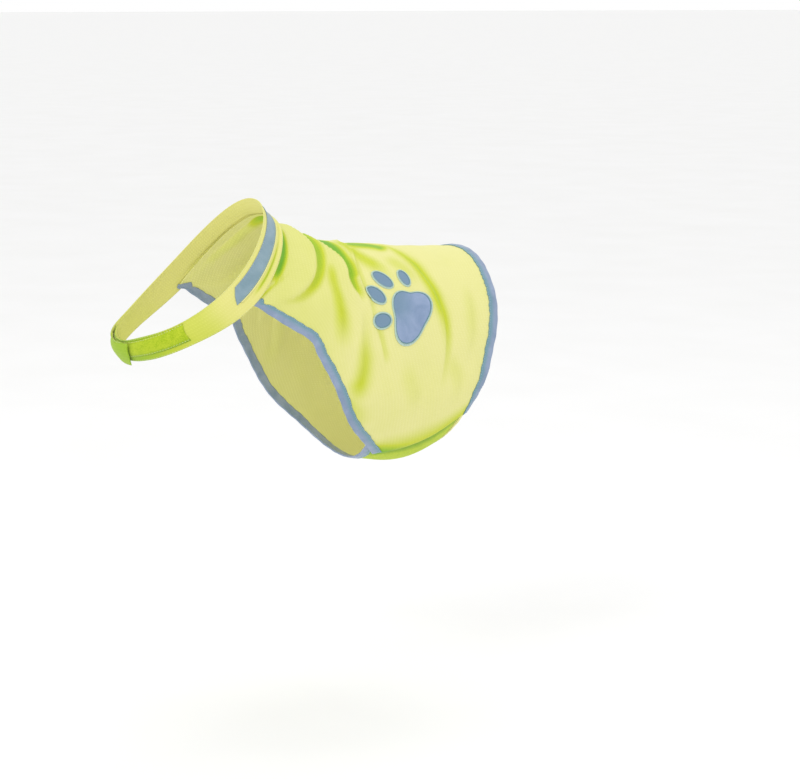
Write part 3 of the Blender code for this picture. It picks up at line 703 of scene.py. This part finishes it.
def bindEdge(name, node, columns, atHem, edgeRows, leg, share, finish="binding", lean=0):
    # a strip folded over an edge: outer leg, round the edge, inner leg
    depth = np.linspace(0, bindingDesign["search"], bindingDesign["steps"])
    side = 1 if atHem else 0
    lines = panelAt(columns[:, None] + 0 * depth, np.abs(side - depth) + 0 * columns[:, None])
    edgeAt = np.linspace(edgeRows[0], edgeRows[1], bindingDesign["edge steps"])
    edge = panelAt(edgeAt, np.full(len(edgeAt), float(side)))
    away = np.linalg.norm(lines[:, :, None] - edge, axis=-1)
    distant = np.abs(edgeAt - columns[:, None]) > bindingDesign["edge rows"]
    away[np.broadcast_to(distant[:, None], away.shape)] = 1
    away = away.min(-1)
    away = np.sqrt(np.maximum(away ** 2 - away[:, :1] ** 2, 0))
    wanted = np.array(bindingDesign["points"]) * leg * mm
    down = np.array([np.interp(wanted, np.maximum.accumulate(row), depth) for row in away])
    uneven = 1 + 0.04 * np.sin(columns * 7.3) + 0.03 * np.sin(columns * 19.1 + 1)
    down = down * (share * uneven)[:, None]
    # lean: at its top end the strip is cut slantwise, along the neck band
    grid = panelAt(columns[:, None] + np.multiply.outer(np.zeros(len(columns)) + lean, wanted / wanted[-1]),
                   np.abs(side - down))
    normals = gridNormals(grid)
    out = normals[:, 0]
    off = direction(np.cross(direction(np.gradient(grid[:, 0], axis=0)), out))
    off = off * np.sign((off * (grid[:, 0] - grid[:, 2])).sum(-1))[:, None]
    run = np.insert(np.cumsum(np.linalg.norm(np.diff(grid[:, 0], axis=0), axis=-1)), 0, 0) / mm
    # it lies a little slack and puckered between its stitches
    slack = 0.20 * np.sin(run / 1.9 + 2.0 * np.sin(run / 13.0)) + 0.16 * np.sin(run / 4.7 + 1.0)
    bulge = np.array(bindingDesign["slack"])
    lift = (overTape + (0.35 + slack[:, None]) * bulge[None] * ease(0, 4, run)[:, None]) * mm
    outer = grid + normals * lift[..., None]
    inner = grid - normals * (overTape * mm)
    bend = overTape * 1.15 * mm + 0.0002 * np.sin(run / 3.1)[:, None]
    turns = np.radians(bindingDesign["fold"])
    corner = [grid[:, 0] + out * np.cos(a) * bend + off * np.sin(a) * bend for a in turns]
    section = [outer[:, k] for k in range(5, -1, -1)] + corner + [inner[:, k] for k in range(6)]
    # painted shade near the stitched edge, on the reflective binding only
    cast = np.zeros(len(section))
    cast[:len(bindingDesign["cast"])] = bindingDesign["cast"]
    cast = cast[None] + 0 * columns[:, None] if finish == "binding" else None
    made = layCloth(name, np.stack(section, 1), walls["tape"], finish, cast)
    if node:
        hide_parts(node)
    line = outer[:, 4] * 0.7 + outer[:, 5] * 0.3 + normals[:, 4] * 0.42 * mm
    thread = "grey thread" if finish == "binding" else "pale thread"
    stitchRow(name + "_stitches", line, normals[:, 4], thread, *sewing["binding"])


def buildBindings():
    # the front bindings start under the neck band and end at the belly corners
    topShare, more, lean = (bindingDesign[key] for key in ("top share", "more", "lean"))
    corner = cutRow("left corner")
    left = np.linspace(0.10, corner - 0.02, 430)
    bindEdge("front_binding_left_tape", "front_binding_left", left, False, (0, corner), bindingDesign["leg"],
             topShare + more * ease(corner - 0.3, corner - 1.5, left),
             lean=lean * ease(corner - 0.5, corner, left))
    corner = cutRow("right corner")
    right = np.linspace(corner + 0.02, len(cut) - 1, 520)
    bindEdge("front_binding_right_tape", "front_binding_right", right, False, (corner, len(cut) - 1),
             bindingDesign["leg"],
             topShare + more * ease(corner + 0.3, corner + 1.5, right),
             lean=-lean * ease(corner + 0.5, corner, right))
    last = cutRow("belly")
    hem = np.linspace(0, last, 640)
    slim = 0.45 + 0.55 * ease(0, 1.2, hem) * ease(last, last - 1.5, hem)
    bindEdge("hem_binding_tape", "hem_binding", hem, True, (0, len(cut) - 1), bindingDesign["leg"],
             slim)
    flap = np.linspace(last + 0.12, len(cut) - 1.05, 160)
    bindEdge("far_flap_hem_fold", None, flap, True, (0, len(cut) - 1), bindingDesign["flap leg"],
             1 + 0 * flap, "panel")


buildBindings()
print("edges bound")


bandDesign = {
    "columns": 300, "rows": 52, "flat": (0.045, 0.56),
    "piping": (0.752, 0.784), "piping columns": 220, "piping rows": 7, "piping rise": 0.55,
    "seam lift": 0.62, "tape seam lift": 0.42,
}
neckParts = {
    # node: first and last band row, share of the band's width, side, finish, slot, flat size
    "collar_reflector": ((3.95, 10.05), (0.24, 0.75), 1, "tape", "reflective_tape", (0.0245, 0.235)),
    "neck_loop_tape": ((0.2, 3.0), (0.09, 0.89), 1, "loop", "loop_tape", (0.036, 0.078)),
    "neck_hook_tape": ((12.3, 13.4), (0.09, 0.89), -1, "hook", "hook_tape", (0.036, 0.024)),
}


def buildBand():
    shares = np.insert(np.cumsum([row[-1] for row in band[:-1]]), 0, 0)
    columns = np.interp(np.linspace(0, shares[-1], bandDesign["columns"]), shares, np.arange(len(band)))
    over = np.linspace(0, 1, bandDesign["rows"])
    points, phi = bandAt(columns[:, None] + 0 * over, over + 0 * columns[:, None])
    across = over + 0 * columns[:, None]
    # painted shade: darker towards the throat, where the band faces down, and in the groove between the rolls
    hollow = 0.30 * ease(92, 118, np.abs(phi)) + 0.45 * ease(118, 165, np.abs(phi))
    gather = ease(34, 58, np.abs(phi)) * ease(84, 72, np.abs(phi))
    hollow = np.maximum(hollow, 0.62 * np.exp(-((across - 0.865) / 0.036) ** 2) * gather)
    made = layCloth("neck_band_cloth", points, walls["knit"], "band", hollow)
    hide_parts("neck_band")
    normals = gridNormals(points)
    for name, line in (("head", 1), ("body", -2)):
        up = normals[:, line]
        stitchRow("neck_band_stitches_" + name, points[:, line] + up * bandDesign["seam lift"] * mm, up,
                  "pale thread", *sewing["band"])
    # a narrow piping of the cloth runs along the reflector's body-side edge
    columns = np.linspace(*neckParts["collar_reflector"][0], bandDesign["piping columns"])
    over = np.linspace(*bandDesign["piping"], bandDesign["piping rows"])
    dome = overTape + bandDesign["piping rise"] * np.sin(np.linspace(0, np.pi, bandDesign["piping rows"]))
    shape = columns[:, None] + 0 * over
    piping = layCloth("reflector_piping", bandAt(shape, over + 0 * shape, dome)[0], walls["piping"],
                      "panel")
    for node, ((first, last), (low, high), side, finish, slotName, flat) in neckParts.items():
        columns = np.linspace(first, last, 200)
        over = np.linspace(low, high, 24)
        shape = columns[:, None] + 0 * over
        if finish == "tape":
            shape = shape + 0.30 * (0.5 - over) * ease(first + 1, first, columns)[:, None]
        grid = bandAt(shape, over + 0 * shape, side * overTape)[0]
        # painted shade: the strips darken towards their body-side edge, beside the piping and the rolls
        edges = 0.8 * np.clip(1 - np.abs(over - high) / 0.09, 0, 1) + 0 * shape
        piece = layCloth(node + "_strip", grid, walls["tape"], finish, edges)
        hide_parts(node)
        normals = gridNormals(grid)
        for edge, line in (("low", 1), ("high", -2)):
            up = normals[:, line]
            seam = grid[:, line] + side * up * bandDesign["tape seam lift"] * mm
            thread = "grey thread" if finish == "tape" else "pale thread"
            stitchRow(node + "_stitches_" + edge, seam, up, thread, *sewing["band"])


buildBand()
print("neck band laid")


def buildBellyTapes():
    normals = gridNormals(panelPoints)
    rows = len(panelPoints[0])
    loop = np.where(across > cutRow("belly") + 0.6)[0][:-6], slice(16, rows - 16)
    grid = panelPoints[loop[0], loop[1]] + normals[loop[0], loop[1]] * overTape * mm
    made = layCloth("belly_loop_tape_strip", grid, walls["tape"], "loop",
                    lapShade[loop[0], loop[1]])
    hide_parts("belly_loop_tape")
    hook = np.where(across < 1.8)[0][5:], slice(18, rows - 18)
    grid = panelPoints[hook[0], hook[1]] - normals[hook[0], hook[1]] * overTape * mm
    made = layCloth("belly_hook_tape_strip", grid, walls["tape"], "hook")
    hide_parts("belly_hook_tape")


buildBellyTapes()
print("belly fastener laid")


pawDesign = {
    "at": {"left": (3.78, 60.0), "right": (3.78, -60.0)}, "scale": (66.0, 2.3),
    # x to the rear, y down the flank, length, width, three-sidedness, heavy end, lean, turn in degrees
    "pad": (11, 4, 67, 55, 0.16, 0.18, 0.10, 97),
    "satin": {"pitch": 0.95, "outside": -0.35, "inside": 1.75, "thread": 0.26, "rise": 0.62},
    # rings of the dark edge strip and of the pale border: inset from the outline, rise over the tape
    "edge": ((0.5, 0.1), (0.8, 0.36), (1.3, 0.40), (1.8, 0.38), (2.1, 0.30), (2.3, 0.05)),
    "border": ((-0.9, -0.15), (-0.6, 0.25), (-0.2, 0.36), (0.3, 0.36), (0.75, 0.36)),
    "ring steps": 241, "measuring steps": 2001, "pad grain": 40, "toe grain": 22, "sheet share": 0.76,
    # where the cloth's height is felt round each point: degrees apart, reach, and the scale used there
    "probe": {"turn": 45, "reach": 2.2, "scale": (62, 2.1)},
}
toes = [
    # name, x, y, length, width, turn
    ("toe_1", -27, 17, 25, 20, 5),
    ("toe_2", -37, -16, 33, 18, 38),
    ("toe_3", -25, -38, 35, 19, 38),
    ("toe_4", 8, -41, 27, 16, 72),
]


def padOutline(angle):
    threeSided, heavyEnd, lean = pawDesign["pad"][4:7]
    return (1 + threeSided * np.cos(3 * angle) + heavyEnd * np.cos(angle)
            - lean * np.cos(angle - np.radians(75)))


def flankPoint(x, y, flank, lift):
    # millimetres from the print's middle, carried onto the flank over the highest cloth nearby
    baseS, basePhi = pawDesign["at"][flank]
    sign = 1 if flank == "left" else -1
    s, phi = baseS + x / pawDesign["scale"][0], basePhi + sign * y / pawDesign["scale"][1]
    high = np.full(np.shape(s), -99.0)
    probe = pawDesign["probe"]
    for turn in np.radians(np.arange(0, 360, probe["turn"])):
        for step in (0, probe["reach"]):
            at = s + step * np.cos(turn) / probe["scale"][0], phi + step * np.sin(turn) / probe["scale"][1]
            high = np.maximum(high, creaseField(*at)[0] + slackField(*at))
    return bodyForm(s, phi) + outward(s, phi) * ((high + lift) * mm)[..., None]


def buildPatch(name, flank, at, size, turn, shape, grain):
    tilt = np.radians(turn)

    def placed(x, y):
        return x * np.cos(tilt) - y * np.sin(tilt) + at[0], x * np.sin(tilt) + y * np.cos(tilt) + at[1]

    def ring(angle, inset, rise):
        x = np.cos(angle) * shape(angle) * (size[0] / 2 - inset)
        y = np.sin(angle) * shape(angle) * (size[1] / 2 - inset)
        return flankPoint(*placed(x, y), flank, overTape + rise)

    # a square grid rounded to a disc and drawn out to the outline
    u, v = np.meshgrid(np.linspace(-1, 1, grain + 1), np.linspace(-1, 1, grain + 1), indexing="ij")
    x, y = u * np.sqrt(1 - v * v / 2), v * np.sqrt(1 - u * u / 2)
    reach = shape(np.arctan2(y, x))
    x, y = placed(x * size[0] / 2 * reach, y * size[1] / 2 * reach)
    grid = flankPoint(x, y, flank, overTape)
    # painted shade: the toes and the pad's front part are painted darker
    if shape is np.ones_like:
        printShade = 0.85 + 0 * x
    else:
        printShade = 0.75 * ease(12, -16, x - at[0]) * ease(26, -4, y - at[1])
    made = layCloth(name + "_patch", grid, walls["tape"], "paw", printShade)
    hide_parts(name)
    # satin edge: a dark ground strip, darker thread and painted shadow, with pale zigzag stitches over it
    angle = np.linspace(0, 2 * np.pi, pawDesign["ring steps"])
    rings = [ring(angle, inset, rise) for inset, rise in pawDesign["edge"]]
    ground = layCloth(name + "_edge", np.stack(rings, 1), walls["satin"], "teal thread and shadow")
    rings = [ring(angle, inset, rise) for inset, rise in pawDesign["border"]]
    border = layCloth(name + "_border", np.stack(rings, 1), walls["satin"], "satin thread")
    satin = pawDesign["satin"]
    spread = np.linspace(0, 2 * np.pi, pawDesign["measuring steps"])
    lengths = np.cos(spread) * shape(spread) * size[0] / 2, np.sin(spread) * shape(spread) * size[1] / 2
    run = np.insert(np.cumsum(np.hypot(np.diff(lengths[0]), np.diff(lengths[1]))), 0, 0)
    count = 2 * int(run[-1] / satin["pitch"] / 2)
    stops = np.interp(np.arange(count + 1) / count * run[-1], run, spread)
    inner, outer = (ring(stops, satin[edge], satin["rise"]) for edge in ("inside", "outside"))
    up = outward(np.array([pawDesign["at"][flank][0]]), np.array([pawDesign["at"][flank][1]]))[0]
    ends = [inner[k] if k % 2 else outer[k] for k in range(count + 1)]
    stitches = [(ends[k], ends[k + 1], up) for k in range(count)]
    zigzag = sewThreads(name + "_stitches", stitches, satin["thread"], "satin thread")


def buildPaws():
    for flank in ("left", "right"):
        pad = pawDesign["pad"]
        buildPatch("paw_%s_pad" % flank, flank, pad[:2], pad[2:4], pad[7], padOutline,
                   pawDesign["pad grain"])
        for name, x, y, length, width, turn in toes:
            buildPatch("paw_%s_%s" % (flank, name), flank, (x, y), (length, width), turn, np.ones_like,
                       pawDesign["toe grain"])


buildPaws()
print("paw prints laid")
